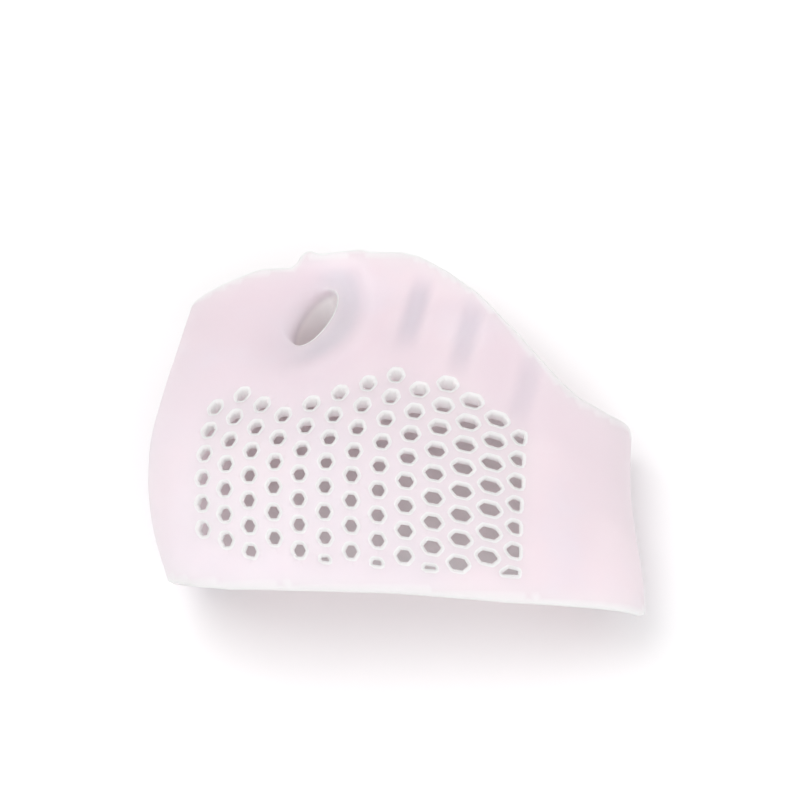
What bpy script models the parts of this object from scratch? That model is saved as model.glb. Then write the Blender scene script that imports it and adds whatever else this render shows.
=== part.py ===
"""A soft gel forefoot sleeve with a pierced pad under the ball of the foot and a hollow toe post.

The sleeve lies on the flat of its top band with the sole side up. X runs from the big-toe side to
the little-toe side, Y towards the toes and Z out of the sole. The origin is on the band's flat.
The sleeve is one wall: its outer skin is cut out flat, with every hole in it, rolled up into the
sleeve and given its thickness inwards. Lengths are in metres.

In the flat pattern, around is the way round the sleeve from the middle of the band, past the
big-toe side, over the sole and back, and Y is the same as on the sleeve. A station is the share
of LENGTH from the heel-side end to the toe-side end.
"""

import math

import bmesh
import bpy
import numpy as np
from mathutils.geometry import delaunay_2d_cdt

MM = 0.001

# Sleeve
WIDTH = 96.5 * MM
LENGTH = 77.0 * MM
HEIGHT = 31.0 * MM
SIDE_FALL_DEGREES = 5.3
ORIGIN_STATION = 0.4675

# Walls
PAD_WALL = 2.7 * MM
SIDE_WALL = 2.2 * MM
BAND_WALL = 1.8 * MM
POST_WALL = 1.5 * MM
RIM_WALL = 0.9 * MM
RIM_TAPER = 4.0 * MM
WALL_SHARES = (0.0, 0.15, 0.25, 0.34, 0.66, 0.75, 0.85, 1.0)
SOLE_SHARES = (0.25, 0.75)

# Holes of the pad: columns run towards the toes, and every second one is half a row further on.
# The holes get wider over the columns on the little-toe side of column 0.
HOLE_ACROSS = 2.6 * MM
HOLE_ACROSS_GROWTH = 1.5 * MM
GROWTH_COLUMNS = 5
HOLE_FLAT_SHARE = 0.5
HOLE_TALL = 2.45 * MM
COLUMN_STEP = 5.08 * MM
COLUMN_GROWTH = 0.09 * MM
ROW_STEP = 4.92 * MM
COLUMN_LEAN = 5.4 * MM
LEAN_RUN = 18.0 * MM
ROW_SAG = 4.6 * MM
ROW_CLOSING = 0.45 * MM
SAG_COLUMN = -2
SAG_COLUMNS = 8
SMALLEST_HOLE_SHARE = 0.15

# Toe post, a tube from the sole to the band between the big toe and the next
POST_LONG = 14.0 * MM
POST_SHORT = 5.6 * MM
POST_BAND_LONG = 11.0 * MM
POST_BAND_SHORT = 5.0 * MM
POST_WAIST_SHARE = 0.86
POST_LEAN_DEGREES = 29.0
POST_SIDES = 20
POST_STEPS = 6
LIP_DROP = 1.4 * MM
LIP_FUNNEL = 1.8 * MM

# Dents of the sole: the hollow round the post and the grooves between the lesser toes
HOLLOW_DEPTH = 3.0 * MM
HOLLOW_LONG = 12.0 * MM
HOLLOW_SHORT = 8.0 * MM
GROOVE_DEPTH = 1.0 * MM
GROOVE_LONG = 8.0 * MM
GROOVE_SHORT = 2.2 * MM
GROOVE_LEAN_DEGREES = 13.0

# Fineness of the mesh
GRID = 4.0 * MM
GRID_MARGIN_SHARE = 0.55
LOOP_SAMPLES = 240
WELD = 0.02 * MM

# Cross-sections: the sides are shares of WIDTH and the height is a share of HEIGHT
SECTIONS = (
    # station, medial, lateral, height
    (0.00, -0.437, 0.486, 0.855),
    (0.12, -0.470, 0.483, 0.945),
    (0.24, -0.498, 0.470, 0.985),
    (0.36, -0.511, 0.464, 1.000),
    (0.48, -0.510, 0.468, 0.968),
    (0.60, -0.493, 0.474, 0.905),
    (0.74, -0.466, 0.455, 0.825),
    (0.88, -0.440, 0.420, 0.730),
    (1.00, -0.415, 0.380, 0.640),
)
PAD_ROUNDNESS = 2.9
BAND_ROUNDNESS = 2.6
BAND_FLAT_SHARE = 0.42
SIDE_LEVEL_SHARE = 0.46

# The band's four corners sag below its flat: where, as shares of the half width and as stations
BAND_SAG = 0.5 * MM
SAG_ACROSS = (0.25, 0.65)
SAG_MIDDLE_STATION = 0.5
SAG_REACH = 0.33

# Rims, as (share of the way around, station)
FRONT_RIM = (
    (0.00, 0.830), (0.12, 0.857), (0.25, 0.868), (0.294, 0.878), (0.330, 0.909), (0.360, 0.938),
    (0.398, 0.940), (0.406, 0.985), (0.414, 0.990), (0.426, 0.977), (0.472, 0.990), (0.483, 0.981),
    (0.517, 0.981), (0.539, 0.966), (0.569, 0.914), (0.597, 0.845), (0.621, 0.754), (0.646, 0.658),
    (0.663, 0.594), (0.682, 0.549), (0.712, 0.513), (0.750, 0.494), (0.80, 0.520), (0.88, 0.625),
    (0.95, 0.760), (1.00, 0.830),
)
REAR_RIM = (
    (0.00, 0.200), (0.12, 0.180), (0.25, 0.123), (0.286, 0.094), (0.321, 0.063), (0.350, 0.049),
    (0.413, 0.039), (0.504, 0.030), (0.603, 0.010), (0.668, 0.005), (0.732, 0.003), (0.80, 0.060),
    (0.88, 0.140), (1.00, 0.200),
)

# Edges of the pierced field, as (share of the way around, station)
FIELD_FRONT = (
    (0.343, 0.565), (0.395, 0.552), (0.420, 0.535), (0.460, 0.580), (0.508, 0.612), (0.554, 0.590),
    (0.580, 0.552), (0.605, 0.500), (0.645, 0.440),
)
FIELD_REAR = (
    (0.343, 0.156), (0.392, 0.115), (0.425, 0.114), (0.448, 0.108), (0.535, 0.0885), (0.613, 0.0766),
)
# The field's little-toe edge, as (station, share of the way around)
FIELD_LATERAL = ((0.070, 0.613), (0.300, 0.630), (0.450, 0.634))
FIELD_MEDIAL_SHARE = 0.343
FIELD_ORIGIN = (0.4697, 0.135)

# Places on the sole and the band, as (share of WIDTH along X, station)
POST_ON_SOLE = (-0.170, 0.790)
POST_ON_BAND = (-0.125, 0.710)
HOLLOW_PLACE = (-0.185, 0.775)
GROOVES = ((0.036, 0.797), (0.142, 0.722), (0.262, 0.575))

GEL_COLOUR = (0.93, 0.89, 0.92, 1.0)
GEL_ROUGHNESS = 0.42
GEL_REFRACTION = 1.41
SHARP_DEGREES = 50


def clear_scene():
    for old in list(bpy.data.objects):
        bpy.data.objects.remove(old, do_unlink=True)


def y_of(station):
    return (station - ORIGIN_STATION) * LENGTH


def station_of(y):
    return y / LENGTH + ORIGIN_STATION


def smooth_curve(rows, column, at):
    """Reads a smooth curve through one column of a table, against the table's first column."""
    table = np.array(rows)
    places, values = table[:, 0], table[:, column]
    slopes = np.gradient(values, places)
    low = np.clip(np.searchsorted(places, at) - 1, 0, len(places) - 2)
    high = low + 1
    run = places[high] - places[low]
    t = (at - places[low]) / run
    return (
        (1 + 2 * t) * (1 - t) ** 2 * values[low]
        + t * (1 - t) ** 2 * run * slopes[low]
        + t ** 2 * (3 - 2 * t) * values[high]
        + t ** 2 * (t - 1) * run * slopes[high]
    )


def straight_curve(rows, at):
    places, values = np.array(rows).T
    return np.interp(at, places, values)


def section_points(turn, y):
    """Points of the outer skin's cross-section at y.

    Turn goes once round from the middle of the band, past the big-toe side and over the sole.
    """
    station = station_of(y)
    medial = smooth_curve(SECTIONS, 1, station) * WIDTH
    lateral = smooth_curve(SECTIONS, 2, station) * WIDTH
    across = -np.sin(turn)
    x = (medial + lateral) / 2 + across * (lateral - medial) / 2
    fall = math.tan(math.radians(SIDE_FALL_DEGREES)) * x
    crown = (HEIGHT - fall) * smooth_curve(SECTIONS, 3, station)
    side = SIDE_LEVEL_SHARE * crown
    share = np.abs(across)
    rise = np.clip(1 - share ** PAD_ROUNDNESS, 0, 1) ** (1 / PAD_ROUNDNESS)
    beyond = np.clip((share - BAND_FLAT_SHARE) / (1 - BAND_FLAT_SHARE), 0, 1)
    drop = np.clip(1 - beyond ** BAND_ROUNDNESS, 0, 1) ** (1 / BAND_ROUNDNESS)
    on_sole = side + (crown - side) * rise
    low, high = SAG_ACROSS
    sag_across = np.sin(math.pi * np.clip((share - low) / (high - low), 0, 1)) ** 2
    sag_along = ((station - SAG_MIDDLE_STATION) / SAG_REACH) ** 2
    on_band = side * (1 - drop) - BAND_SAG * sag_across * sag_along
    return x, np.where(np.cos(turn) < 0, on_sole, on_band)


def section_runs(y):
    """For each y, the points once round its cross-section and the way run at each."""
    turns = np.linspace(0, 2 * math.pi, LOOP_SAMPLES + 1)
    x, z = section_points(turns[None, :], np.asarray(y, dtype=float)[:, None])
    steps = np.hypot(np.diff(x, axis=1), np.diff(z, axis=1))
    way = np.concatenate([np.zeros((len(steps), 1)), np.cumsum(steps, axis=1)], axis=1)
    return x, z, way


def widest_girth():
    widest = max(SECTIONS, key=lambda row: row[2] - row[1])
    return section_runs([y_of(widest[0])])[2][0, -1]


def place_around(x, y, on_sole):
    """The share of the way round at which the skin has this x, on the sole or on the band."""
    xs, _, way = section_runs([y])
    quarter = LOOP_SAMPLES // 4
    if on_sole:
        part = slice(quarter, 3 * quarter + 1)
        return np.interp(x, xs[0, part], way[0, part]) / way[0, -1]
    part = slice(0, quarter + 1)
    return np.interp(-x, -xs[0, part], way[0, part]) / way[0, -1]


def bump(x, y, place, lean_degrees, short, long):
    """A smooth long dent's share of its full depth: 1 at its place, falling away to 0."""
    lean = math.radians(lean_degrees)
    dx = x - place[0] * WIDTH
    dy = y - y_of(place[1])
    across = dx * math.cos(lean) - dy * math.sin(lean)
    along = dx * math.sin(lean) + dy * math.cos(lean)
    return np.exp(-((across / short) ** 2) - (along / long) ** 4)


def dent_depth(x, y):
    hollow = bump(x, y, HOLLOW_PLACE, POST_LEAN_DEGREES, HOLLOW_SHORT, HOLLOW_LONG)
    depth = HOLLOW_DEPTH * hollow
    for place in GROOVES:
        groove = bump(x, y, place, GROOVE_LEAN_DEGREES, GROOVE_SHORT, GROOVE_LONG)
        depth = depth + GROOVE_DEPTH * groove
    return depth


def roll_up(around, y, girth):
    """Takes points of the flat pattern to the sleeve, with the dents of the sole."""
    xs, zs, way = section_runs(y)
    points = []
    for index, share in enumerate(np.asarray(around) / girth):
        run = share * way[index, -1]
        x = np.interp(run, way[index], xs[index])
        z = np.interp(run, way[index], zs[index])
        if SOLE_SHARES[0] < share < SOLE_SHARES[1]:
            z -= dent_depth(x, y[index])
        points.append((x, y[index], z))
    return np.array(points)


def wall_at(share, y):
    """The wall's thickness: thick on the sole, thin on the band and thinnest at both rims."""
    full = np.interp(
        share,
        WALL_SHARES,
        (BAND_WALL, BAND_WALL, SIDE_WALL, PAD_WALL, PAD_WALL, SIDE_WALL, BAND_WALL, BAND_WALL),
    )
    to_rim = min(y - y_of(straight_curve(REAR_RIM, share)), y_of(straight_curve(FRONT_RIM, share)) - y)
    return RIM_WALL + (full - RIM_WALL) * min(max(to_rim / RIM_TAPER, 0.0), 1.0)


def lattice_point(column, row, girth):
    """A place in the holes' lattice, on the flat pattern."""
    sag = (max(0.0, column - SAG_COLUMN) / SAG_COLUMNS) ** 2
    run = row * ROW_STEP - sag * (ROW_SAG + row * ROW_CLOSING)
    lean = COLUMN_LEAN * (1 - math.exp(-run / LEAN_RUN))
    sideways = column * COLUMN_STEP + column ** 2 * COLUMN_GROWTH / 2
    return FIELD_ORIGIN[0] * girth + sideways + lean, y_of(FIELD_ORIGIN[1]) + run


def clip(outline, margin):
    """The part of an outline where margin isn't negative."""
    kept = []
    for start, end in zip(outline, outline[1:] + outline[:1]):
        at_start, at_end = margin(start), margin(end)
        if at_start >= 0:
            kept.append(start)
        if (at_start >= 0) != (at_end >= 0):
            t = at_start / (at_start - at_end)
            kept.append((start[0] + t * (end[0] - start[0]), start[1] + t * (end[1] - start[1])))
    return kept


def signed_area(outline):
    pairs = zip(outline, outline[1:] + outline[:1])
    return sum(a[0] * b[1] - b[0] * a[1] for a, b in pairs) / 2


def hole_corners(column):
    """Corners of a six-sided hole round its middle, in columns and rows of the lattice."""
    grown = min(max(column / GROWTH_COLUMNS, 0.0), 1.0)
    across = HOLE_ACROSS + HOLE_ACROSS_GROWTH * grown ** 2 * (3 - 2 * grown)
    half_across = across / COLUMN_STEP / 2
    half_flat = HOLE_FLAT_SHARE * half_across
    half_tall = HOLE_TALL / ROW_STEP / 2
    return (
        (half_across, 0), (half_flat, half_tall), (-half_flat, half_tall),
        (-half_across, 0), (-half_flat, -half_tall), (half_flat, -half_tall),
    )


def pad_holes(girth):
    """Outlines of the six-sided holes on the flat pattern, cut short at the field's edges."""

    def rear_margin(point):
        return point[1] - y_of(straight_curve(FIELD_REAR, point[0] / girth))

    def lateral_margin(point):
        return straight_curve(FIELD_LATERAL, station_of(point[1])) * girth - point[0]

    most_columns = int(girth / COLUMN_STEP / 4)
    most_rows = int(LENGTH / ROW_STEP)
    holes = []
    for column in range(-most_columns, most_columns + 1):
        corners = hole_corners(column)
        for whole_row in range(-2, most_rows):
            row = whole_row + column % 2 / 2
            around, y = lattice_point(column, row, girth)
            share = around / girth
            if share < FIELD_MEDIAL_SHARE or y > y_of(straight_curve(FIELD_FRONT, share)):
                continue
            hexagon = [lattice_point(column + dc, row + dr, girth) for dc, dr in corners]
            outline = clip(clip(hexagon, rear_margin), lateral_margin)
            if signed_area(outline) > SMALLEST_HOLE_SHARE * signed_area(hexagon):
                holes.append(outline)
    return holes


def oval(place, long, short, funnel=0.0):
    """A leaning oval in plan. A funnel widens its big-toe side."""
    lean = math.radians(POST_LEAN_DEGREES)
    points = []
    for side in range(POST_SIDES):
        angle = 2 * math.pi * side / POST_SIDES
        across = short / 2 * math.cos(angle) - funnel * max(0.0, -math.cos(angle))
        along = long / 2 * math.sin(angle)
        x = place[0] * WIDTH + across * math.cos(lean) + along * math.sin(lean)
        y = y_of(place[1]) - across * math.sin(lean) + along * math.cos(lean)
        points.append((x, y))
    return points


def post_opening(place, long, short, funnel, on_sole, girth):
    """The oval on the flat pattern."""
    outline = oval(place, long, short, funnel)
    return [(place_around(x, y, on_sole) * girth, y) for x, y in outline]


def rim_line(rows, girth):
    """The rim's points on the flat pattern, with each stretch split into steps of GRID or less."""
    shares = []
    for start, end in zip(rows, rows[1:]):
        count = math.ceil((end[0] - start[0]) * girth / GRID)
        shares += [start[0] + (end[0] - start[0]) * step / count for step in range(count)]
    shares.append(rows[-1][0])
    return [(share * girth, y_of(straight_curve(rows, share))) for share in shares]


def flat_outline(girth):
    """The pattern's edge: heel-side rim, seam, toe-side rim and seam again."""
    rear = rim_line(REAR_RIM, girth)
    front = rim_line(FRONT_RIM, girth)
    low, high = rear[0][1], front[0][1]
    count = math.ceil((high - low) / GRID)
    seam = [low + (high - low) * step / count for step in range(1, count)]
    there = [(girth, y) for y in seam]
    back = [(0.0, y) for y in reversed(seam)]
    return rear + there + front[::-1] + back


def inner_points(girth, edge_points):
    """Points inside the pattern: a row where each rim's taper ends, and an even grid elsewhere."""
    taken = np.array(edge_points)
    rows = [(around, y + RIM_TAPER) for around, y in rim_line(REAR_RIM, girth)[1:-1]]
    rows += [(around, y - RIM_TAPER) for around, y in rim_line(FRONT_RIM, girth)[1:-1]]
    row_gap = GRID * math.sqrt(3) / 2
    low, high = taken[:, 1].min(), taken[:, 1].max()
    grid = []
    for row in range(math.ceil((high - low) / row_gap)):
        y = low + row * row_gap
        shift = GRID / 2 * (row % 2)
        grid += [(shift + GRID * step, y) for step in range(1, int(girth / GRID))]
    chosen = []
    for around, y in rows + grid:
        share = around / girth
        inside = y_of(straight_curve(REAR_RIM, share)) < y < y_of(straight_curve(FRONT_RIM, share))
        near = np.hypot(taken[:, 0] - around, taken[:, 1] - y).min()
        if inside and near > GRID * GRID_MARGIN_SHARE:
            chosen.append((around, y))
            taken = np.vstack([taken, (around, y)])
    return chosen


def cut_pattern(outlines, loose_points):
    """Triangles that fill the first outline, less the others, with the loose points as corners.

    Gives the points, the triangles and, for each outline, where its own points are among them.
    """
    flat = []
    loops = []
    for outline in outlines:
        loops.append(list(range(len(flat), len(flat) + len(outline))))
        flat += outline
    turned = [loop if signed_area(line) > 0 else loop[::-1] for loop, line in zip(loops, outlines)]
    flat += loose_points
    result = delaunay_2d_cdt([tuple(point) for point in flat], [], turned, 1, WELD / 100)
    points, _, faces, came_from, _, faces_from = result
    triangles = [face for face, owners in zip(faces, faces_from) if list(owners) == [0]]
    place = {old: new for new, olds in enumerate(came_from) for old in olds}
    return points, triangles, [[place[index] for index in loop] for loop in loops]


def post_rings(top, bottom):
    """Rings of the post's bore between its opening in the sole and the one in the band."""
    narrow = np.array(oval(POST_ON_SOLE, POST_LONG, POST_SHORT))
    throat = np.column_stack([narrow, top[:, 2] - LIP_DROP])
    rings = [throat]
    for step in range(1, POST_STEPS):
        t = step / POST_STEPS
        ring = throat + t * (bottom - throat)
        middle = ring.mean(axis=0)
        width = 1 - (1 - POST_WAIST_SHARE) * math.sin(math.pi * t)
        ring[:, :2] = middle[:2] + (ring[:, :2] - middle[:2]) * width
        rings.append(ring)
    return rings


def sleeve_skin():
    """The outer skin as a mesh, with the wall's thickness at each of its points."""
    girth = widest_girth()
    on_sole = post_opening(POST_ON_SOLE, POST_LONG, POST_SHORT, LIP_FUNNEL, True, girth)
    on_band = post_opening(POST_ON_BAND, POST_BAND_LONG, POST_BAND_SHORT, 0.0, False, girth)
    outlines = [flat_outline(girth), on_sole, on_band] + pad_holes(girth)
    edge_points = [point for outline in outlines for point in outline]
    flat, triangles, loops = cut_pattern(outlines, inner_points(girth, edge_points))
    around = np.array([point[0] for point in flat])
    y = np.array([point[1] for point in flat])
    places = roll_up(around, y, girth)
    walls = [wall_at(a / girth, b) for a, b in zip(around, y)]

    skin = bmesh.new()
    wall_layer = skin.verts.layers.float.new("wall")
    corners = []
    for place, wall in zip(places, walls):
        corner = skin.verts.new(place)
        corner[wall_layer] = wall
        corners.append(corner)
    for triangle in triangles:
        skin.faces.new([corners[index] for index in triangle])

    top, bottom = loops[1], loops[2]
    rings = [[corners[index] for index in top]]
    for ring in post_rings(places[top], places[bottom]):
        rings.append([skin.verts.new(place) for place in ring])
        for corner in rings[-1]:
            corner[wall_layer] = POST_WALL
    rings.append([corners[index] for index in bottom])
    for corner in rings[0]:
        corner[wall_layer] = RIM_WALL
    for corner in rings[-1]:
        corner[wall_layer] = POST_WALL
    for upper, lower in zip(rings, rings[1:]):
        for side in range(POST_SIDES):
            following = (side + 1) % POST_SIDES
            skin.faces.new((upper[side], upper[following], lower[following], lower[side]))

    loose = [corner for corner in skin.verts if not corner.link_faces]
    bmesh.ops.delete(skin, geom=loose, context="VERTS")
    bmesh.ops.remove_doubles(skin, verts=skin.verts, dist=WELD)
    bmesh.ops.triangulate(skin, faces=[face for face in skin.faces if len(face.verts) > 3])
    return skin


def gel_material():
    material = bpy.data.materials.new("Gel")
    material.use_nodes = True
    shader = material.node_tree.nodes["Principled BSDF"]
    shader.inputs["Base Color"].default_value = GEL_COLOUR
    shader.inputs["Roughness"].default_value = GEL_ROUGHNESS
    shader.inputs["Metallic"].default_value = 0.0
    shader.inputs["IOR"].default_value = GEL_REFRACTION
    material.diffuse_color = GEL_COLOUR
    return material


def build_sleeve(collection):
    skin = sleeve_skin()
    wall_layer = skin.verts.layers.float["wall"]
    walls = [corner[wall_layer] for corner in skin.verts]
    mesh = bpy.data.meshes.new("gel_sleeve")
    skin.to_mesh(mesh)
    skin.free()
    mesh.materials.append(gel_material())
    sleeve = bpy.data.objects.new("gel_sleeve", mesh)
    collection.objects.link(sleeve)

    group = sleeve.vertex_groups.new(name="wall")
    for index, wall in enumerate(walls):
        group.add([index], wall / PAD_WALL, "REPLACE")
    solidify = sleeve.modifiers.new("Wall", "SOLIDIFY")
    solidify.thickness = PAD_WALL
    solidify.offset = -1.0
    solidify.vertex_group = group.name
    solidify.use_even_offset = True
    solidify.use_quality_normals = True
    mesh.shade_smooth()
    mesh.set_sharp_from_angle(angle=math.radians(SHARP_DEGREES))
    return sleeve


def main():
    clear_scene()
    collection = bpy.data.collections.new("Forefoot_sleeve")
    bpy.context.scene.collection.children.link(collection)
    build_sleeve(collection)


main()
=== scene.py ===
"""The looks of a soft gel forefoot sleeve: one moulded piece of milky gel, lying sole side up.

The sleeve is modelled again from the same sizes and tables as its solid, with a fine mesh, rounded
edges at every hole and rim, the fillets of the toe post and the soft creases round its mouth.
Lengths are in metres. In the flat pattern, around is the way round the sleeve from the middle of
the band, past the big-toe side and over the sole, and a station is the share of LENGTH from the
heel-side end. Pattern points are rows of (around, y).
"""

import math

import bmesh
import bpy
import numpy as np
from mathutils import Matrix, Vector, noise
from mathutils.geometry import delaunay_2d_cdt


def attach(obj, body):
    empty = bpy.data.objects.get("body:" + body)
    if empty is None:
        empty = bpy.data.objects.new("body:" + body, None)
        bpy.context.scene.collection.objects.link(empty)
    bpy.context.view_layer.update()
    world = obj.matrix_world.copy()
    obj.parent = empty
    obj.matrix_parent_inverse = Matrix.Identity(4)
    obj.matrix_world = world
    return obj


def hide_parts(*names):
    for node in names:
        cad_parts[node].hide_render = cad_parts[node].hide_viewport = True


MM = 0.001

# Sleeve
WIDTH = 96.5 * MM
LENGTH = 77.0 * MM
HEIGHT = 31.0 * MM
BAND_SAG = 0.5 * MM
SIDE_FALL_DEGREES = 5.3
ORIGIN_STATION = 0.4675

# Walls
PAD_WALL = 2.7 * MM
SIDE_WALL = 2.2 * MM
BAND_WALL = 1.8 * MM
POST_WALL = 1.5 * MM
RIM_WALL = 0.9 * MM
RIM_TAPER = 4.0 * MM
WALL_SHARES = (0.0, 0.15, 0.25, 0.34, 0.66, 0.75, 0.85, 1.0)
SOLE_SHARES = (0.25, 0.75)

# Holes of the pad: columns run towards the toes, and every second one is half a row further on.
# The holes get wider over the columns on the little-toe side of column 0.
HOLE_ACROSS = 2.3 * MM
HOLE_ACROSS_GROWTH = 1.6 * MM
GROWTH_COLUMNS = 5
HOLE_FLAT_SHARE = 0.5
HOLE_TALL = 2.25 * MM
COLUMN_STEP = 5.08 * MM
COLUMN_GROWTH = 0.09 * MM
ROW_STEP = 4.92 * MM
COLUMN_LEAN = 5.4 * MM
LEAN_RUN = 18.0 * MM
ROW_SAG = 4.6 * MM
ROW_CLOSING = 0.45 * MM
SAG_COLUMN = -2
SAG_COLUMNS = 8
SMALLEST_HOLE_SHARE = 0.12

# Toe post, a tube from the sole to the band between the big toe and the next
POST_LONG = 14.0 * MM
POST_SHORT = 5.6 * MM
POST_BAND_LONG = 11.0 * MM
POST_BAND_SHORT = 5.0 * MM
POST_WAIST_SHARE = 0.86
POST_LEAN_DEGREES = 29.0
LIP_FUNNEL = 3.6 * MM
LIP_DROP = 2.4 * MM

# Dents of the sole: the hollow round the post and the grooves between the lesser toes
HOLLOW_DEPTH = 3.0 * MM
HOLLOW_LONG = 12.0 * MM
HOLLOW_SHORT = 8.0 * MM
GROOVE_DEPTH = 1.0 * MM
GROOVE_LONG = 8.0 * MM
GROOVE_SHORT = 2.2 * MM
GROOVE_LEAN_DEGREES = 13.0
GROOVE_STEEPNESS = 4

# Rounded edges and small relief, which only this model has
HOLE_ROUND = 0.50 * MM
HOLE_INNER_ROUND = 0.30 * MM
HOLE_CORNER = 0.30 * MM
RIM_ROUND = 0.45 * MM
LIP_ROUND = 0.40 * MM
POST_FILLET = 1.6 * MM
HOLE_BEAD = 0.06 * MM
HOLE_BEAD_WIDE = 0.28 * MM
HOLE_WIDENING = 0.45 * MM
HOLE_DRAFT = 1.2 * MM
HOLE_DRAFT_STATIONS = (0.40, 0.60)
GUTTER_DEPTH = 1.0 * MM
GUTTER_AWAY = 3.3 * MM
GUTTER_WIDE = 2.5 * MM
GUTTER_TO_TOES = 0.35
RIDGE_HEIGHT = 0.45 * MM
RIDGE_AWAY = 8.0 * MM
RIDGE_WIDE = 1.8 * MM
RIPPLE_DEPTH = 0.10 * MM
RIPPLE_LONG = 9.0 * MM
RIM_EASE = 0.0012

# How strong the painted highlights on the gel's rounded edges and the painted light in the bore are, and
# how strongly painted shade is laid in the hollow round the post, from 0 to 1
BEAD_HIGHLIGHT = 0.8
HOLE_HIGHLIGHT = 1.0
HOLE_FOOT_HIGHLIGHT = 0.5
RIM_HIGHLIGHT = 1.0
RIM_SIDE_HIGHLIGHT = 0.55
BORE_PAINTED_LIGHT = 0.3
POST_HOLLOW_SHADE = 0.4

# Fineness of the mesh
SKIN_GRID = 1.4 * MM
LINING_GRID = 2.4 * MM
RIM_GRID = 1.0 * MM
GRID_MARGIN_SHARE = 0.6
SHORTEST_EDGE_SHARE = 0.25
POST_SIDES = 56
POST_STEPS = 16
LIP_STEPS = 8
HOLE_STEPS = 3
FILLET_STEPS = 4
RIM_STEPS = 6
LOOP_SAMPLES = 720
TABLE_ROWS = 260
NORMAL_REACH = 0.35 * MM
WELD = 0.01 * MM
SHADING_WEIGHT = 60

# Cross-sections: the sides are shares of WIDTH and the height is a share of HEIGHT
SECTIONS = (
    # station, medial, lateral, height
    (0.00, -0.437, 0.486, 0.855),
    (0.12, -0.470, 0.483, 0.945),
    (0.24, -0.498, 0.470, 0.985),
    (0.36, -0.511, 0.464, 1.000),
    (0.48, -0.510, 0.468, 0.968),
    (0.60, -0.493, 0.474, 0.905),
    (0.74, -0.466, 0.455, 0.825),
    (0.88, -0.440, 0.420, 0.730),
    (1.00, -0.415, 0.380, 0.640),
)
PAD_ROUNDNESS = 2.9
BAND_ROUNDNESS = 2.6
BAND_FLAT_SHARE = 0.42
SIDE_LEVEL_SHARE = 0.46
SAG_ACROSS = (0.25, 0.65)
SAG_MIDDLE_STATION = 0.5
SAG_REACH = 0.33

# Rims, as (share of the way around, station)
FRONT_RIM = (
    (0.00, 0.830), (0.12, 0.857), (0.25, 0.868), (0.294, 0.878), (0.330, 0.909), (0.360, 0.938),
    (0.398, 0.940), (0.406, 0.985), (0.414, 0.990), (0.426, 0.977), (0.472, 0.990), (0.483, 0.981),
    (0.517, 0.981), (0.539, 0.966), (0.569, 0.914), (0.597, 0.845), (0.621, 0.754), (0.646, 0.658),
    (0.663, 0.594), (0.682, 0.549), (0.712, 0.513), (0.750, 0.494), (0.80, 0.520), (0.88, 0.625),
    (0.95, 0.760), (1.00, 0.830),
)
REAR_RIM = (
    (0.00, 0.200), (0.12, 0.180), (0.25, 0.123), (0.286, 0.094), (0.321, 0.063), (0.350, 0.049),
    (0.413, 0.039), (0.504, 0.030), (0.603, 0.010), (0.668, 0.005), (0.732, 0.003), (0.80, 0.060),
    (0.88, 0.140), (1.00, 0.200),
)

# Edges of the pierced field, as (share of the way around, station)
FIELD_FRONT = (
    (0.343, 0.565), (0.395, 0.552), (0.420, 0.535), (0.460, 0.580), (0.508, 0.612), (0.554, 0.590),
    (0.580, 0.552), (0.605, 0.500), (0.645, 0.440),
)
FIELD_REAR = (
    (0.343, 0.156), (0.392, 0.115), (0.425, 0.114), (0.448, 0.108), (0.535, 0.0885), (0.613, 0.0766),
)
# The field's little-toe edge, as (station, share of the way around)
FIELD_LATERAL = ((0.070, 0.613), (0.300, 0.630), (0.450, 0.634))
FIELD_MEDIAL_SHARE = 0.343
FIELD_ORIGIN = (0.4697, 0.135)

# Places on the sole and the band, as (share of WIDTH along X, station), and each groove's strength
POST_ON_SOLE = (-0.170, 0.790)
POST_ON_BAND = (-0.125, 0.710)
HOLLOW_PLACE = (-0.185, 0.775)
GROOVES = ((0.036, 0.797, 1.0), (0.142, 0.722, 0.85), (0.262, 0.575, 0.6))

# Camera, which looks down on the sole from the heel side as the photograph does
IMAGE_SIDE = 800
PIXELS_PER_METRE = 5100
CAMERA_DISTANCE = 0.56
CAMERA_TO_HEEL_DEGREES = 20.0
CAMERA_TO_SIDE_DEGREES = 5.0
CAMERA_TARGET = Vector((0, 2 * MM, 18 * MM))
TARGET_PIXEL_BELOW_MIDDLE = 32
SENSOR_WIDTH = 36.0

# Gel colours, and the runs of X and Y over which one gives way to the next. Besides the gel's own pink,
# blush and haze, there is painted shade towards the little-toe side, towards the toes and in the dents,
# painted light on the inner faces and painted highlight on the rounded edges
GEL_PINK = (0.925, 0.80, 0.875, 1)
# Painted shade on the little-toe side
GEL_SIDE_SHADE = (0.82, 0.71, 0.76, 1)
# Painted shade towards the toes
GEL_TOES_SHADE = (0.80, 0.68, 0.735, 1)
GEL_BLUSH = (0.93, 0.77, 0.82, 1)
GEL_HAZE = (0.80, 0.76, 0.84, 1)
# Painted shade in the dents
GEL_DENT_SHADE = (0.66, 0.63, 0.69, 1)
# Painted highlight on the rounded edges
GEL_EDGE_HIGHLIGHT = (1.0, 0.99, 1.0, 1)
# Painted light on the inner faces
GEL_INSIDE_LIGHT = (1.0, 0.84, 0.87, 1)
SIDE_SHADE_RUN = (-0.45 * WIDTH, 0.50 * WIDTH)
TOES_SHADE_STATIONS = (0.2, 0.9)
BLUSH_SCALE = 34
BLUSH_RANGE = (0.46, 0.66)
BLUSH_SHARE = 0.6
HAZE_SCALE = 55
HAZE_RANGE = (0.50, 0.70)
HAZE_SHARE = 0.3
DENT_SHADE_SHARE = 0.75

# Gel surface and depth
FILM_SCALE = 160
ROUGHNESS_RANGE = (0.34, 0.46)
GRAIN_SCALE = 900
GRAIN_STRENGTH = 0.25
GRAIN_DEPTH = 0.06 * MM
GEL_REFRACTION = 1.41
GEL_CLEARNESS = 0.15
SCATTER_DEPTH = 6.0 * MM
SCATTER_COLOURS = (1.0, 0.95, 0.97)

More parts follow.
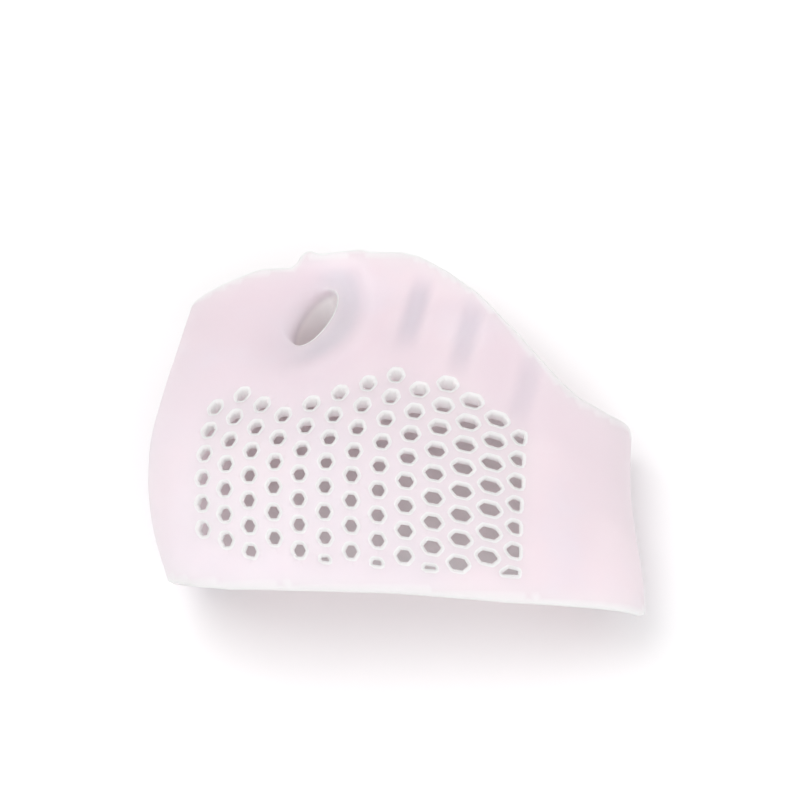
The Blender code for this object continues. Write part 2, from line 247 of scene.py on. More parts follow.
# Studio
FLOOR_COLOUR = (0.93, 0.93, 0.935, 1)
FLOOR_ROUGHNESS = 0.9
SKY_COLOUR = (1.0, 1.0, 1.0, 1)
SKY_STRENGTH = 0.74
LIGHT_AIM = (0, 0, 0.015)
LIGHTS = (
    # name, place, side, power, colour
    ("Key", (-0.24, 0.14, 0.86), 0.6, 3.3, (1.0, 0.99, 0.98)),
    ("Fill", (0.45, -0.55, 0.6), 0.9, 2.2, (0.99, 0.99, 1.0)),
)

FLOOR_SIDE = 6.0


# Curves and sections

def y_of(station):
    return (station - ORIGIN_STATION) * LENGTH


def station_of(y):
    return y / LENGTH + ORIGIN_STATION


def smooth_curve(rows, column, at):
    """Reads a smooth curve through one column of a table, against the table's first column."""
    table = np.array(rows)
    places, values = table[:, 0], table[:, column]
    slopes = np.gradient(values, places)
    low = np.clip(np.searchsorted(places, at) - 1, 0, len(places) - 2)
    high = low + 1
    run = places[high] - places[low]
    t = (at - places[low]) / run
    return (
        (1 + 2 * t) * (1 - t) ** 2 * values[low]
        + t * (1 - t) ** 2 * run * slopes[low]
        + t ** 2 * (3 - 2 * t) * values[high]
        + t ** 2 * (t - 1) * run * slopes[high]
    )


def straight_curve(rows, at):
    places, values = np.array(rows).T
    return np.interp(at, places, values)


def smooth_step(t):
    t = np.clip(t, 0, 1)
    return t * t * (3 - 2 * t)


def section_points(turn, y):
    """Points of the bare outer skin's cross-section at y."""
    station = station_of(y)
    medial = smooth_curve(SECTIONS, 1, station) * WIDTH
    lateral = smooth_curve(SECTIONS, 2, station) * WIDTH
    across = -np.sin(turn)
    x = (medial + lateral) / 2 + across * (lateral - medial) / 2
    fall = math.tan(math.radians(SIDE_FALL_DEGREES)) * x
    crown = (HEIGHT - fall) * smooth_curve(SECTIONS, 3, station)
    side = SIDE_LEVEL_SHARE * crown
    share = np.abs(across)
    rise = np.clip(1 - share ** PAD_ROUNDNESS, 0, 1) ** (1 / PAD_ROUNDNESS)
    beyond = np.clip((share - BAND_FLAT_SHARE) / (1 - BAND_FLAT_SHARE), 0, 1)
    drop = np.clip(1 - beyond ** BAND_ROUNDNESS, 0, 1) ** (1 / BAND_ROUNDNESS)
    on_sole = side + (crown - side) * rise
    low, high = SAG_ACROSS
    sag_across = np.sin(math.pi * np.clip((share - low) / (high - low), 0, 1)) ** 2
    sag_along = ((station - SAG_MIDDLE_STATION) / SAG_REACH) ** 2
    on_band = side * (1 - drop) - BAND_SAG * sag_across * sag_along
    return x, np.where(np.cos(turn) < 0, on_sole, on_band)


def section_runs(y):
    """For each y, the points once round its cross-section and the way run at each."""
    turns = np.linspace(0, 2 * math.pi, LOOP_SAMPLES + 1)
    x, z = section_points(turns[None, :], np.asarray(y, dtype=float)[:, None])
    steps = np.hypot(np.diff(x, axis=1), np.diff(z, axis=1))
    way = np.concatenate([np.zeros((len(steps), 1)), np.cumsum(steps, axis=1)], axis=1)
    return x, z, way


def widest_girth():
    widest = max(SECTIONS, key=lambda row: row[2] - row[1])
    return section_runs([y_of(widest[0])])[2][0, -1]


def bump(x, y, place, lean_degrees, short, long, steepness=2):
    """A smooth long dent's share of its full depth: 1 at its place, falling away to 0."""
    across, along = in_lean(x, y, place, lean_degrees)
    return np.exp(-((across / short) ** steepness) - (along / long) ** 4)


def in_lean(x, y, place, lean_degrees):
    """How far a point lies across and along a leaning direction through a place."""
    lean = math.radians(lean_degrees)
    dx = x - place[0] * WIDTH
    dy = y - y_of(place[1])
    across = dx * math.cos(lean) - dy * math.sin(lean)
    along = dx * math.sin(lean) + dy * math.cos(lean)
    return across, along


def hollow_at(x, y):
    return bump(x, y, HOLLOW_PLACE, POST_LEAN_DEGREES, HOLLOW_SHORT, HOLLOW_LONG)


def grooves_at(x, y):
    total = 0
    for share, station, strength in GROOVES:
        place = (share, station)
        groove = bump(x, y, place, GROOVE_LEAN_DEGREES, GROOVE_SHORT, GROOVE_LONG, GROOVE_STEEPNESS)
        total = total + strength * groove
    return total


def main_dents(x, y):
    return HOLLOW_DEPTH * hollow_at(x, y) + GROOVE_DEPTH * grooves_at(x, y)


def gutter_and_ridge(x, y):
    """Shares, from 0 to 1, of the gutter and the ridge beyond it, on the mouth's little-toe side."""
    across, along = in_lean(x, y, POST_ON_SOLE, POST_LEAN_DEGREES)
    reach = np.hypot(across, along) + 1e-9
    size = np.hypot(across / (POST_SHORT / 2), along / (POST_LONG / 2)) + 1e-9
    away = reach * (1 - 1 / size)
    on_side = smooth_step((across + GUTTER_TO_TOES * along) / reach + 0.5)
    gutter = on_side * np.exp(-(((away - GUTTER_AWAY) / GUTTER_WIDE) ** 2))
    ridge = on_side * np.exp(-(((away - RIDGE_AWAY) / RIDGE_WIDE) ** 2))
    return gutter, ridge


def small_dents(x, y):
    gutter, ridge = gutter_and_ridge(x, y)
    return GUTTER_DEPTH * gutter - RIDGE_HEIGHT * ridge


def dent_shade_share(x, y):
    """How much painted shade a place gets from a groove, the gutter or the dent round the post, from 0 to
    1.
    """
    share = gutter_and_ridge(x, y)[0] + grooves_at(x, y) + POST_HOLLOW_SHADE * hollow_at(x, y)
    return np.clip(share, 0, 1)


class Sleeve:
    """The bare skin as a table over stations and shares of the way around, read by pattern point."""

    def __init__(self):
        self.girth = widest_girth()
        self.rows = np.linspace(y_of(-0.05), y_of(1.05), TABLE_ROWS)
        xs, zs, way = section_runs(self.rows)
        self.shares = np.linspace(0, 1, LOOP_SAMPLES + 1)
        runs = way / way[:, -1:]
        self.x = np.array([np.interp(self.shares, run, row) for run, row in zip(runs, xs)])
        self.z = np.array([np.interp(self.shares, run, row) for run, row in zip(runs, zs)])

    def read(self, table, pattern):
        share = (pattern[:, 0] / self.girth) % 1.0
        column = share * LOOP_SAMPLES
        row = (pattern[:, 1] - self.rows[0]) / (self.rows[1] - self.rows[0])
        left = np.clip(column.astype(int), 0, LOOP_SAMPLES - 1)
        below = np.clip(row.astype(int), 0, TABLE_ROWS - 2)
        s, t = column - left, row - below
        near = table[below, left] * (1 - s) + table[below, left + 1] * s
        far = table[below + 1, left] * (1 - s) + table[below + 1, left + 1] * s
        return near * (1 - t) + far * t

    def bare(self, pattern, relief):
        """Points of the outer skin. With relief, the small dents are in it too."""
        pattern = np.asarray(pattern, dtype=float)
        x, y, z = self.read(self.x, pattern), pattern[:, 1], self.read(self.z, pattern)
        share = (pattern[:, 0] / self.girth) % 1.0
        on_sole = (share > SOLE_SHARES[0]) & (share < SOLE_SHARES[1])
        depth = main_dents(x, y)
        if relief:
            depth = depth + small_dents(x, y)
        return np.column_stack([x, y, z - np.where(on_sole, depth, 0)])

    def normals(self, pattern, relief):
        pattern = np.asarray(pattern, dtype=float)
        around = np.array([NORMAL_REACH, 0])
        along = np.array([0, NORMAL_REACH])
        u = self.bare(pattern + around, relief) - self.bare(pattern - around, relief)
        v = self.bare(pattern + along, relief) - self.bare(pattern - along, relief)
        out = np.cross(u, v)
        return out / np.linalg.norm(out, axis=1)[:, None]

    def skin(self, pattern, depth=0.0):
        """Points at a depth under the outer skin, with the small relief and faint ripples."""
        places = self.bare(pattern, True)
        out = self.normals(pattern, True)
        ripple = np.array([noise.noise(Vector(place) / RIPPLE_LONG) for place in places])
        return places + out * (RIPPLE_DEPTH * ripple - depth)[:, None]

    def lining(self, pattern, above=0.0):
        """Points above the inner skin, which lies a wall's thickness under the outer one."""
        depth = self.walls(pattern) - above
        return self.bare(pattern, False) - self.normals(pattern, False) * depth[:, None]

    def walls(self, pattern):
        """The wall's thickness: thick on the sole, thin on the band and thinnest at both rims."""
        pattern = np.asarray(pattern, dtype=float)
        share = (pattern[:, 0] / self.girth) % 1.0
        full = np.interp(
            share,
            WALL_SHARES,
            (BAND_WALL, BAND_WALL, SIDE_WALL, PAD_WALL, PAD_WALL, SIDE_WALL, BAND_WALL, BAND_WALL),
        )
        to_rear = pattern[:, 1] - y_of(straight_curve(REAR_RIM, share))
        to_front = y_of(straight_curve(FRONT_RIM, share)) - pattern[:, 1]
        return RIM_WALL + (full - RIM_WALL) * smooth_step(np.minimum(to_rear, to_front) / RIM_TAPER)

    def on_pattern(self, plan, on_sole):
        """The pattern's points at which the skin has these x and y, on the sole or on the band."""
        quarter = LOOP_SAMPLES // 4
        part = slice(quarter, 3 * quarter + 1) if on_sole else slice(quarter, None, -1)
        found = []
        for x, y in plan:
            row = (y - self.rows[0]) / (self.rows[1] - self.rows[0])
            below = int(row)
            xs = self.x[below] * (1 - row + below) + self.x[below + 1] * (row - below)
            found.append((np.interp(x, xs[part], self.shares[part]) * self.girth, y))
        return found


# Holes of the pad, on the flat pattern

def lattice_point(column, row, girth):
    """A place in the holes' lattice."""
    sag = (max(0.0, column - SAG_COLUMN) / SAG_COLUMNS) ** 2
    run = row * ROW_STEP - sag * (ROW_SAG + row * ROW_CLOSING)
    lean = COLUMN_LEAN * (1 - math.exp(-run / LEAN_RUN))
    sideways = column * COLUMN_STEP + column ** 2 * COLUMN_GROWTH / 2
    return FIELD_ORIGIN[0] * girth + sideways + lean, y_of(FIELD_ORIGIN[1]) + run


def clip(outline, margin):
    """The part of an outline where margin isn't negative."""
    kept = []
    for start, end in zip(outline, outline[1:] + outline[:1]):
        at_start, at_end = margin(start), margin(end)
        if at_start >= 0:
            kept.append(start)
        if (at_start >= 0) != (at_end >= 0):
            t = at_start / (at_start - at_end)
            kept.append((start[0] + t * (end[0] - start[0]), start[1] + t * (end[1] - start[1])))
    return kept


def signed_area(outline):
    pairs = zip(outline, outline[1:] + outline[:1])
    return sum(a[0] * b[1] - b[0] * a[1] for a, b in pairs) / 2


def pad_holes(girth):
    """Outlines of the six-sided holes, cut short at the field's edges."""

    def rear_margin(point):
        return point[1] - y_of(straight_curve(FIELD_REAR, point[0] / girth))

    def lateral_margin(point):
        return straight_curve(FIELD_LATERAL, station_of(point[1])) * girth - point[0]

    half_tall = HOLE_TALL / ROW_STEP / 2
    most_columns = int(girth / COLUMN_STEP / 4)
    most_rows = int(LENGTH / ROW_STEP)
    holes = []
    for column in range(-most_columns, most_columns + 1):
        across = HOLE_ACROSS + HOLE_ACROSS_GROWTH * smooth_step(column / GROWTH_COLUMNS)
        half_across = across / COLUMN_STEP / 2
        half_flat = HOLE_FLAT_SHARE * half_across
        corners = (
            (half_across, 0), (half_flat, half_tall), (-half_flat, half_tall),
            (-half_across, 0), (-half_flat, -half_tall), (half_flat, -half_tall),
        )
        for whole_row in range(-2, most_rows):
            row = whole_row + column % 2 / 2
            around, y = lattice_point(column, row, girth)
            share = around / girth
            if share < FIELD_MEDIAL_SHARE or y > y_of(straight_curve(FIELD_FRONT, share)):
                continue
            hexagon = [lattice_point(column + dc, row + dr, girth) for dc, dr in corners]
            outline = clip(clip(hexagon, rear_margin), lateral_margin)
            if signed_area(outline) > SMALLEST_HOLE_SHARE * signed_area(hexagon):
                holes.append(Hole(outline))
    return holes


class Hole:
    """A convex outline with rounded corners, which gives rings at any offset, point for point."""

    def __init__(self, outline):
        corners = [np.array(point) for point in outline]
        following = corners[1:] + corners[:1]
        lengths = [np.linalg.norm(b - a) for a, b in zip(corners, following)]
        self.radius = min(HOLE_CORNER, SHORTEST_EDGE_SHARE * min(lengths))
        normals = [np.array([b[1] - a[1], a[0] - b[0]]) / d for a, b, d in zip(corners, following, lengths)]
        anchors = []
        for corner, before, after in zip(corners, normals[-1:] + normals[:-1], normals):
            towards = before + after
            anchors.append(corner - towards * self.radius * 2 / towards.dot(towards))
        self.anchors, self.directions = [], []
        for index, anchor in enumerate(anchors):
            before, after = normals[index - 1], normals[index]
            middle = (before + after) / np.linalg.norm(before + after)
            self.anchors += [anchor] * 3 + [(anchor + anchors[(index + 1) % len(anchors)]) / 2]
            self.directions += [before, middle, after, after]

    def ring(self, offset):
        return np.array(self.anchors) + np.array(self.directions) * (self.radius + offset)

    def drafted(self, offset):
        """A ring on the lining. Towards the toes, the holes lean back to the heel as they go in."""
        low, high = HOLE_DRAFT_STATIONS
        middle = station_of(np.mean(self.anchors, axis=0)[1])
        lean = HOLE_DRAFT * smooth_step((middle - low) / (high - low))
        return self.ring(offset + HOLE_WIDENING) - (0, lean)


# Edges, on the flat pattern

def eased_rim(rows, share):
    """The rim's station, with the corners of its table eased."""
    steps = np.linspace(-2, 2, 9)
    weights = np.exp(-steps ** 2)
    places = (np.asarray(share)[..., None] + steps * RIM_EASE) % 1.0
    return straight_curve(rows, places) @ (weights / weights.sum())


def rim_lines(rows, girth, inward):
    """The rim's points at the very edge, and a rounding's radius further in."""
    count = math.ceil(girth / RIM_GRID)
    shares = np.linspace(0, 1, count + 1)
    edge = np.column_stack([shares * girth, y_of(eased_rim(rows, shares))])
    run = np.gradient(edge, axis=0)
    normals = np.column_stack([-run[:, 1], run[:, 0]]) / np.linalg.norm(run, axis=1)[:, None]
    normals[0] = normals[-1] = (0, 1)
    return edge, edge + normals * inward * RIM_ROUND


def oval(place, long, short, grow, funnel):
    """A leaning oval in plan. A funnel widens its big-toe side."""
    lean = math.radians(POST_LEAN_DEGREES)
    angles = np.arange(POST_SIDES) / POST_SIDES * 2 * math.pi
    across = (short / 2 + grow) * np.cos(angles) - funnel * np.clip(-np.cos(angles), 0, 1)
    along = (long / 2 + grow) * np.sin(angles)
    x = place[0] * WIDTH + across * math.cos(lean) + along * math.sin(lean)
    y = y_of(place[1]) - across * math.sin(lean) + along * math.cos(lean)
    return np.column_stack([x, y])


def post_oval(t, grow, funnel=0.0):
    """The post's bore in plan, from 0 at the sole to 1 at the band, grown evenly."""
    place = np.array(POST_ON_SOLE) * (1 - t) + np.array(POST_ON_BAND) * t
    waist = 1 - (1 - POST_WAIST_SHARE) * math.sin(math.pi * t)
    long = (POST_LONG * (1 - t) + POST_BAND_LONG * t) * waist
    short = (POST_SHORT * (1 - t) + POST_BAND_SHORT * t) * waist
    return oval(place, long, short, grow, funnel)


def quarter_turn(steps):
    """For each step of a rounded edge: how far out and how far down, as shares of its radius."""
    angles = np.linspace(0, math.pi / 2, steps + 1)
    return list(zip(1 - np.sin(angles), 1 - np.cos(angles)))


def grid_points(girth, grid, edge_points):
    """An even grid inside the pattern, clear of the edges."""
    taken = np.array(edge_points)
    row_gap = grid * math.sqrt(3) / 2
    low, high = taken[:, 1].min(), taken[:, 1].max()
    chosen = []
    for row in range(math.ceil((high - low) / row_gap)):
        y = low + row * row_gap
        around = grid / 2 * (row % 2) + grid * np.arange(1, int(girth / grid))
        share = around / girth
        inside = (y > y_of(eased_rim(REAR_RIM, share))) & (y < y_of(eased_rim(FRONT_RIM, share)))
        close = taken[np.abs(taken[:, 1] - y) < grid]
        for place in around[inside]:
            if np.hypot(close[:, 0] - place, close[:, 1] - y).min(initial=grid) > grid * GRID_MARGIN_SHARE:
                chosen.append((place, y))
    return chosen


def cut_pattern(outlines, loose_points):
    """Triangles that fill the first outline, less the others, with the loose points as corners.

    Gives the points, the triangles and, for each outline, where its own points are among them.
    """
    flat = []
    loops = []
    for outline in outlines:
        loops.append(list(range(len(flat), len(flat) + len(outline))))
        flat += [tuple(point) for point in outline]
    turned = [
        loop if signed_area([tuple(point) for point in line]) > 0 else loop[::-1]
        for loop, line in zip(loops, outlines)
    ]
    flat += loose_points
    result = delaunay_2d_cdt([Vector(point) for point in flat], [], turned, 1, WELD / 100)
    points, _, faces, came_from, _, faces_from = result
    triangles = [face for face, owners in zip(faces, faces_from) if list(owners) == [0]]
    place = {old: new for new, olds in enumerate(came_from) for old in olds}
    return np.array(points), triangles, [[place[index] for index in loop] for loop in loops]


# The gel shell

class Shell:
    """The mesh in the making. Each corner carries how far it lies on a rounded edge, which sets its painted
    highlight, its share of painted shade in the dents, and whether it lies inside.
    """

    def __init__(self):
        self.mesh = bmesh.new()
        # Per corner: the share of painted highlight on rounded edges, the share of painted shade in the
        # dents, and whether it lies inside
        self.edge_highlight_layer = self.mesh.verts.layers.float.new("edge")
        self.dent_shade_layer = self.mesh.verts.layers.float.new("dent_shade")
        self.inside_layer = self.mesh.verts.layers.float.new("inside")

    def corners(self, places, edge=0.0):
        made = []
        highlight_shares = np.broadcast_to(edge, len(places))
        dent_shades = dent_shade_share(places[:, 0], places[:, 1])
        for place, highlight_share, dent_shade in zip(places, highlight_shares, dent_shades):
            corner = self.mesh.verts.new(place)
            corner[self.edge_highlight_layer] = highlight_share
            corner[self.dent_shade_layer] = dent_shade
            made.append(corner)
        return made

    def mark_inside(self, corners):
        for corner in corners:
            corner[self.inside_layer] = 1.0

    def surface(self, places, triangles):
        corners = self.corners(places)
        for triangle in triangles:
            self.mesh.faces.new([corners[index] for index in triangle])
        return corners

    def strips(self, rows, closed):
        for upper, lower in zip(rows, rows[1:]):
            count = len(upper) if closed else len(upper) - 1
            for index in range(count):
                following = (index + 1) % len(upper)
                self.mesh.faces.new((upper[index], lower[index], lower[following], upper[following]))

    def finished(self):
        loose = [corner for corner in self.mesh.verts if not corner.link_faces]
        bmesh.ops.delete(self.mesh, geom=loose, context="VERTS")
        bmesh.ops.remove_doubles(self.mesh, verts=self.mesh.verts, dist=WELD)
        bmesh.ops.recalc_face_normals(self.mesh, faces=self.mesh.faces)
        return self.mesh


def outline_of(rear, front):
    """The pattern's edge: heel-side rim, seam, toe-side rim and seam again."""
    low, high = rear[0][1], front[0][1]
    count = math.ceil((high - low) / RIM_GRID)
    seam = np.linspace(low, high, count + 1)[1:-1]
    there = np.column_stack([np.full(len(seam), rear[-1][0]), seam])
    back = np.column_stack([np.zeros(len(seam)), seam[::-1]])
    return np.vstack([rear, there, front[::-1], back])


def hole_rows(shell, sleeve, hole, outer, inner):
    """The wall of one hole: a faint bead, a rounded edge, a straight run and a rounded foot."""
    # Painted highlight: the bead, the rounded edge and, more faintly, the foot of each hole are whitened
    bead = hole.ring(HOLE_ROUND + HOLE_BEAD_WIDE / 2)
    rows = [outer, shell.corners(sleeve.skin(bead, -HOLE_BEAD), BEAD_HIGHLIGHT)]
    for out, down in quarter_turn(HOLE_STEPS):
        places = sleeve.skin(hole.ring(HOLE_ROUND * out), HOLE_ROUND * down - HOLE_BEAD * (1 - down))
        rows.append(shell.corners(places, HOLE_HIGHLIGHT))
    for out, down in quarter_turn(HOLE_STEPS)[:0:-1]:
        places = sleeve.lining(hole.drafted(HOLE_INNER_ROUND * out), HOLE_INNER_ROUND * down)
        rows.append(shell.corners(places, HOLE_FOOT_HIGHLIGHT))
    rows.append(inner)
    return rows


def rim_rows(shell, sleeve, edge, inset, outer, inner):
    """A half-round along a rim."""
    outside, inside = (np.array([corner.co for corner in row]) for row in (outer, inner))
    half_wall = sleeve.walls(inset) / 2
    tip = sleeve.bare(edge, False) - sleeve.bare(inset, False)
    rows = [outer]
    # Painted highlight: the half-round is whitened all along
    for angle in np.linspace(0, math.pi, RIM_STEPS + 1)[1:-1]:
        places = (outside + inside) / 2 + (outside - inside) / 2 * math.cos(angle) + tip * math.sin(angle)
        rows.append(shell.corners(places, RIM_HIGHLIGHT))
    rows.append(inner)
    return rows


def bore_rows(shell, sleeve, outer_sole, outer_band):
    """The post's bore: a soft lip with a funnel on its big-toe side, a waist and a lip at the band."""
    angles = np.arange(POST_SIDES) / POST_SIDES * 2 * math.pi
    to_big_toe = smooth_step(0.5 - np.cos(angles))
    lip_drop = LIP_ROUND + LIP_DROP * to_big_toe
    rows = [outer_sole]
    for out, down in quarter_turn(LIP_STEPS)[1:]:
        plan = post_oval(0, LIP_ROUND * out, LIP_FUNNEL * out)
        throat = sleeve.skin(sleeve.on_pattern(plan, True))
        throat[:, 2] -= lip_drop * down
        # Painted highlight along the crisp lip on the little-toe side of the mouth, fading over its
        # rounding
        rows.append(shell.corners(throat, (1.0 - to_big_toe) * (1.0 - down / 2)))
    band_rows = []
    for out, down in quarter_turn(LIP_STEPS)[1:]:
        plan = post_oval(1, LIP_ROUND * out)
        mouth = sleeve.skin(sleeve.on_pattern(plan, False))
        mouth[:, 2] += LIP_ROUND * down
        # Painted highlight on the lip at the band, fading over its rounding
        band_rows.append(shell.corners(mouth, 1.0 - down))
    for step in range(1, POST_STEPS):
        t = step / POST_STEPS
        heights = throat[:, 2] * (1 - t) + mouth[:, 2] * t
        # Painted light in the bore, which lifts its shade
        row = shell.corners(np.column_stack([post_oval(t, 0.0), heights]), BORE_PAINTED_LIGHT)
        shell.mark_inside(row)
        rows.append(row)
    return rows + band_rows[::-1] + [outer_band]


def column_ends(sleeve):
    """The plan of the post's outside at each step of its two fillets, from the linings inward."""
    sole = sleeve.skin(sleeve.on_pattern(post_oval(0, 0.0), True))[:, 2].mean()
    band = sleeve.skin(sleeve.on_pattern(post_oval(1, 0.0), False))[:, 2].mean()
    ends = []
    for on_sole, wall in ((True, PAD_WALL), (False, BAND_WALL)):
        plans = []
        for out, down in quarter_turn(FILLET_STEPS):
            t = (wall + POST_FILLET * down) / (sole - band)
            plans.append(post_oval(t if on_sole else 1 - t, POST_WALL + POST_FILLET * out))
        ends.append(plans)
    return ends


def column_rows(shell, sleeve, ends, inner_sole, inner_band):
    """The post's outside, which meets the linings of the sole and the band in fillets."""
    made = []
    for plans, on_sole in zip(ends, (True, False)):
        rows = []
        for plan, (_, down) in zip(plans[1:], quarter_turn(FILLET_STEPS)[1:]):
            places = sleeve.lining(sleeve.on_pattern(plan, on_sole))
            places[:, :2] = plan
            places[:, 2] += -POST_FILLET * down if on_sole else POST_FILLET * down
            rows.append(places)
        made.append(rows)
    top, bottom = made
    middle = [top[-1] + (bottom[-1] - top[-1]) * step / POST_STEPS for step in range(1, POST_STEPS)]
    places = top + middle + bottom[::-1]
    rows = [shell.corners(row) for row in places]
    for row in rows:
        shell.mark_inside(row)
    return [inner_sole] + rows + [inner_band]


def build_sleeve():
    sleeve = Sleeve()
    girth = sleeve.girth
    shell = Shell()
    holes = pad_holes(girth)
    rear_edge, rear = rim_lines(REAR_RIM, girth, 1)
    front_edge, front = rim_lines(FRONT_RIM, girth, -1)
    rim = outline_of(rear, front)
    column = column_ends(sleeve)

    mouths = [sleeve.on_pattern(post_oval(0, LIP_ROUND, LIP_FUNNEL), True)]
    mouths.append(sleeve.on_pattern(post_oval(1, LIP_ROUND), False))
    openings = [sleeve.on_pattern(column[0][0], True), sleeve.on_pattern(column[1][0], False)]
    sides = []
    for ovals, rings, grid, place in (
        (mouths, [hole.ring(HOLE_ROUND + HOLE_BEAD_WIDE) for hole in holes], SKIN_GRID, sleeve.skin),
        (openings, [hole.drafted(HOLE_INNER_ROUND) for hole in holes], LINING_GRID, sleeve.lining),
    ):
        outlines = [rim] + ovals + rings
        edge_points = [point for outline in outlines for point in outline]
        flat, triangles, loops = cut_pattern(outlines, grid_points(girth, grid, edge_points))
        corners = shell.surface(place(flat), triangles)
        sides.append([[corners[index] for index in loop] for loop in loops])
    outer, inner = sides
    shell.mark_inside(corners)
    # Painted highlight fading in across the outer skin from both rims
    for corner in outer[0]:
        corner[shell.edge_highlight_layer] = RIM_SIDE_HIGHLIGHT

    shell.strips(bore_rows(shell, sleeve, outer[1], outer[2]), True)
    shell.strips(column_rows(shell, sleeve, column, inner[1], inner[2]), True)
    for hole, above, below in zip(holes, outer[3:], inner[3:]):
        shell.strips(hole_rows(shell, sleeve, hole, above, below), True)
    count = len(rear)
    first = len(rim) // 2
    for edge, inset, part in (
        (rear_edge, rear, slice(0, count)),
        (front_edge[::-1], front[::-1], slice(first, first + count)),
    ):
        shell.strips(rim_rows(shell, sleeve, edge, inset, outer[0][part], inner[0][part]), False)

    mesh = bpy.data.meshes.new("gel_shell")
    shell.finished().to_mesh(mesh)
    mesh.shade_smooth()
    made = bpy.data.objects.new("gel_shell", mesh)
    bpy.context.scene.collection.objects.link(made)
    even = made.modifiers.new("Even shading", "WEIGHTED_NORMAL")
    even.weight = SHADING_WEIGHT
    return made


# Material

class Nodes:
    """Short names for adding and linking nodes."""

    def __init__(self, material):
        material.use_nodes = True
        self.tree = material.node_tree
        self.shader = self.tree.nodes["Principled BSDF"]

    def add(self, kind, inputs=None, **settings):
        node = self.tree.nodes.new(kind)
        for name, value in settings.items():
            setattr(node, name, value)
        for name, value in (inputs or {}).items():
            if isinstance(value, bpy.types.NodeSocket):
                self.tree.links.new(value, node.inputs[name])
            else:
                node.inputs[name].default_value = value
        return node

    def mix(self, share, one, other):
        """A colour between one and the other. Each may be a colour or another node's output."""
        return self.add("ShaderNodeMix", {0: share, 6: one, 7: other}, data_type="RGBA").outputs[2]

    def ramp(self, value, low, high):
        """0 at low and below, 1 at high and above."""
        inputs = {"Value": value, "From Min": low, "From Max": high}
        return self.add("ShaderNodeMapRange", inputs, interpolation_type="SMOOTHSTEP").outputs[0]

    def times(self, value, share):
        return self.add("ShaderNodeMath", {0: value, 1: share}, operation="MULTIPLY").outputs[0]

    def noise(self, where, scale, detail):
        inputs = {"Vector": where, "Scale": scale, "Detail": detail}
        return self.add("ShaderNodeTexNoise", inputs).outputs[0]

    def plug(self, name, value):
        self.tree.links.new(value, self.shader.inputs[name])


def gel_material():
    """Milky gel: light goes some way into it. Painted highlights whiten its rounded edges, painted shade
    darkens it towards the little-toe side, towards the toes and in the dents, and painted light lifts its
    inner faces.
    """
    material = bpy.data.materials.new("Milky gel")
    nodes = Nodes(material)
    where = nodes.add("ShaderNodeTexCoord").outputs["Object"]
    axes = nodes.add("ShaderNodeSeparateXYZ", {"Vector": where})
    side_shade = nodes.ramp(axes.outputs["X"], *SIDE_SHADE_RUN)
    toes_shade = nodes.ramp(axes.outputs["Y"], *map(y_of, TOES_SHADE_STATIONS))
    blush = nodes.ramp(nodes.noise(where, BLUSH_SCALE, 2), *BLUSH_RANGE)
    haze = nodes.ramp(nodes.noise(where, HAZE_SCALE, 3), *HAZE_RANGE)
    edge = nodes.add("ShaderNodeAttribute", attribute_name="edge").outputs["Fac"]
    dent_shade = nodes.add("ShaderNodeAttribute", attribute_name="dent_shade").outputs["Fac"]

    # Painted shade: darker towards the little-toe side, where less light falls
    body = nodes.mix(side_shade, GEL_PINK, GEL_SIDE_SHADE)
    # Painted shade: darker towards the toes, where less light falls
    body = nodes.mix(toes_shade, body, GEL_TOES_SHADE)
    body = nodes.mix(nodes.times(blush, BLUSH_SHARE), body, GEL_BLUSH)
    body = nodes.mix(nodes.times(haze, HAZE_SHARE), body, GEL_HAZE)
    # Painted shade in the grooves, the gutter and the dent round the post
    body = nodes.mix(nodes.times(dent_shade, DENT_SHADE_SHARE), body, GEL_DENT_SHADE)
    inside = nodes.add("ShaderNodeAttribute", attribute_name="inside").outputs["Fac"]
    # Painted light: the linings, the bore and the post's outside are made lighter and pinker to lift their
    # shade
    body = nodes.mix(inside, body, GEL_INSIDE_LIGHT)
    # Painted highlight on the rounded edges of the holes, the rims and the lips
    nodes.plug("Base Color", nodes.mix(edge, body, GEL_EDGE_HIGHLIGHT))

    smoothest, roughest = ROUGHNESS_RANGE
    film = {"Value": nodes.noise(where, FILM_SCALE, 3), "To Min": smoothest, "To Max": roughest}
    nodes.plug("Roughness", nodes.add("ShaderNodeMapRange", film).outputs[0])
    grain = nodes.noise(where, GRAIN_SCALE, 4)
    bumps = {"Strength": GRAIN_STRENGTH, "Distance": GRAIN_DEPTH, "Height": grain}
    nodes.plug("Normal", nodes.add("ShaderNodeBump", bumps).outputs[0])

    shader = nodes.shader.inputs
    shader["IOR"].default_value = GEL_REFRACTION
    shader["Subsurface Weight"].default_value = 1.0
    shader["Subsurface Radius"].default_value = SCATTER_COLOURS
    shader["Subsurface Scale"].default_value = SCATTER_DEPTH
    shader["Transmission Weight"].default_value = GEL_CLEARNESS
    return material


# Studio

def add_floor(height):
    mesh = bpy.data.meshes.new("floor")
    half = FLOOR_SIDE / 2
    corners = [(-half, -half, height), (half, -half, height), (half, half, height), (-half, half, height)]
    mesh.from_pydata(corners, [], [(0, 1, 2, 3)])
    floor = bpy.data.objects.new("floor", mesh)
    bpy.context.scene.collection.objects.link(floor)
    material = bpy.data.materials.new("Pale floor")
    nodes = Nodes(material)
    nodes.shader.inputs["Base Color"].default_value = FLOOR_COLOUR
    nodes.shader.inputs["Roughness"].default_value = FLOOR_ROUGHNESS
    mesh.materials.append(material)


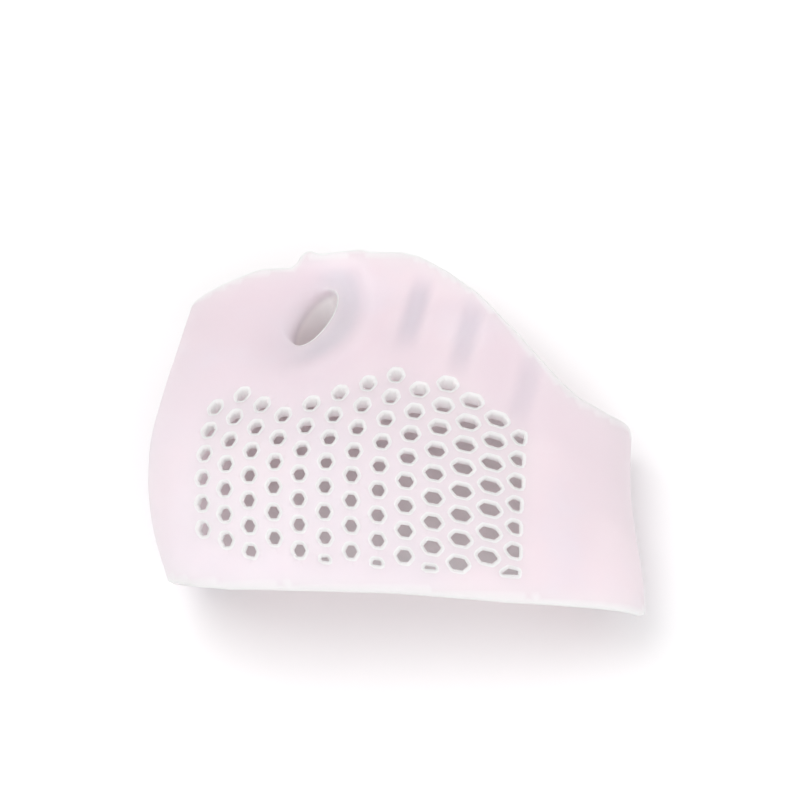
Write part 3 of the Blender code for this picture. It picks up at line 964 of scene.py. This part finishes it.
def add_light(name, place, side, power, colour):
    data = bpy.data.lights.new(name, "AREA")
    data.shape = "SQUARE"
    data.size = side
    data.energy = power
    data.color = colour
    light = bpy.data.objects.new(name, data)
    light.location = place
    light.rotation_euler = (Vector(LIGHT_AIM) - Vector(place)).to_track_quat("-Z", "Y").to_euler()
    bpy.context.scene.collection.objects.link(light)


def add_world():
    world = bpy.data.worlds.new("Studio")
    world.use_nodes = True
    background = world.node_tree.nodes["Background"]
    background.inputs["Color"].default_value = SKY_COLOUR
    background.inputs["Strength"].default_value = SKY_STRENGTH
    bpy.context.scene.world = world


def add_camera():
    tilt = math.radians(CAMERA_TO_HEEL_DEGREES)
    turn = math.radians(CAMERA_TO_SIDE_DEGREES)
    back = Vector((math.sin(turn) * math.cos(tilt), -math.sin(tilt), math.cos(turn) * math.cos(tilt)))
    right = Vector((0, 1, 0)).cross(back).normalized()
    up = back.cross(right)
    data = bpy.data.cameras.new("Camera")
    data.sensor_width = SENSOR_WIDTH
    data.lens = PIXELS_PER_METRE * CAMERA_DISTANCE / IMAGE_SIDE * SENSOR_WIDTH
    camera = bpy.data.objects.new("Camera", data)
    aim = CAMERA_TARGET + up * (TARGET_PIXEL_BELOW_MIDDLE / PIXELS_PER_METRE)
    pose = Matrix((right, up, back)).transposed().to_4x4()
    pose.translation = aim + back * CAMERA_DISTANCE
    camera.matrix_world = pose
    bpy.context.scene.collection.objects.link(camera)
    bpy.context.scene.camera = camera


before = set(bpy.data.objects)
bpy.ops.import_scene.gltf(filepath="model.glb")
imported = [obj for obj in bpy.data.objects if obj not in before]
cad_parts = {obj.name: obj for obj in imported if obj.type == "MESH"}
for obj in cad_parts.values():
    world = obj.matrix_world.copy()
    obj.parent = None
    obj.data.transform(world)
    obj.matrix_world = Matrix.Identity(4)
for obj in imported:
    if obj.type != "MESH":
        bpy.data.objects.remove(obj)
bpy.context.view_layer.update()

gel = build_sleeve()
gel.data.materials.append(gel_material())
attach(gel, "root")
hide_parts("gel_sleeve")

add_floor(min(corner.co.z for corner in gel.data.vertices))
for light in LIGHTS:
    add_light(*light)
add_world()
add_camera()
bpy.context.scene.view_settings.view_transform = "Standard"
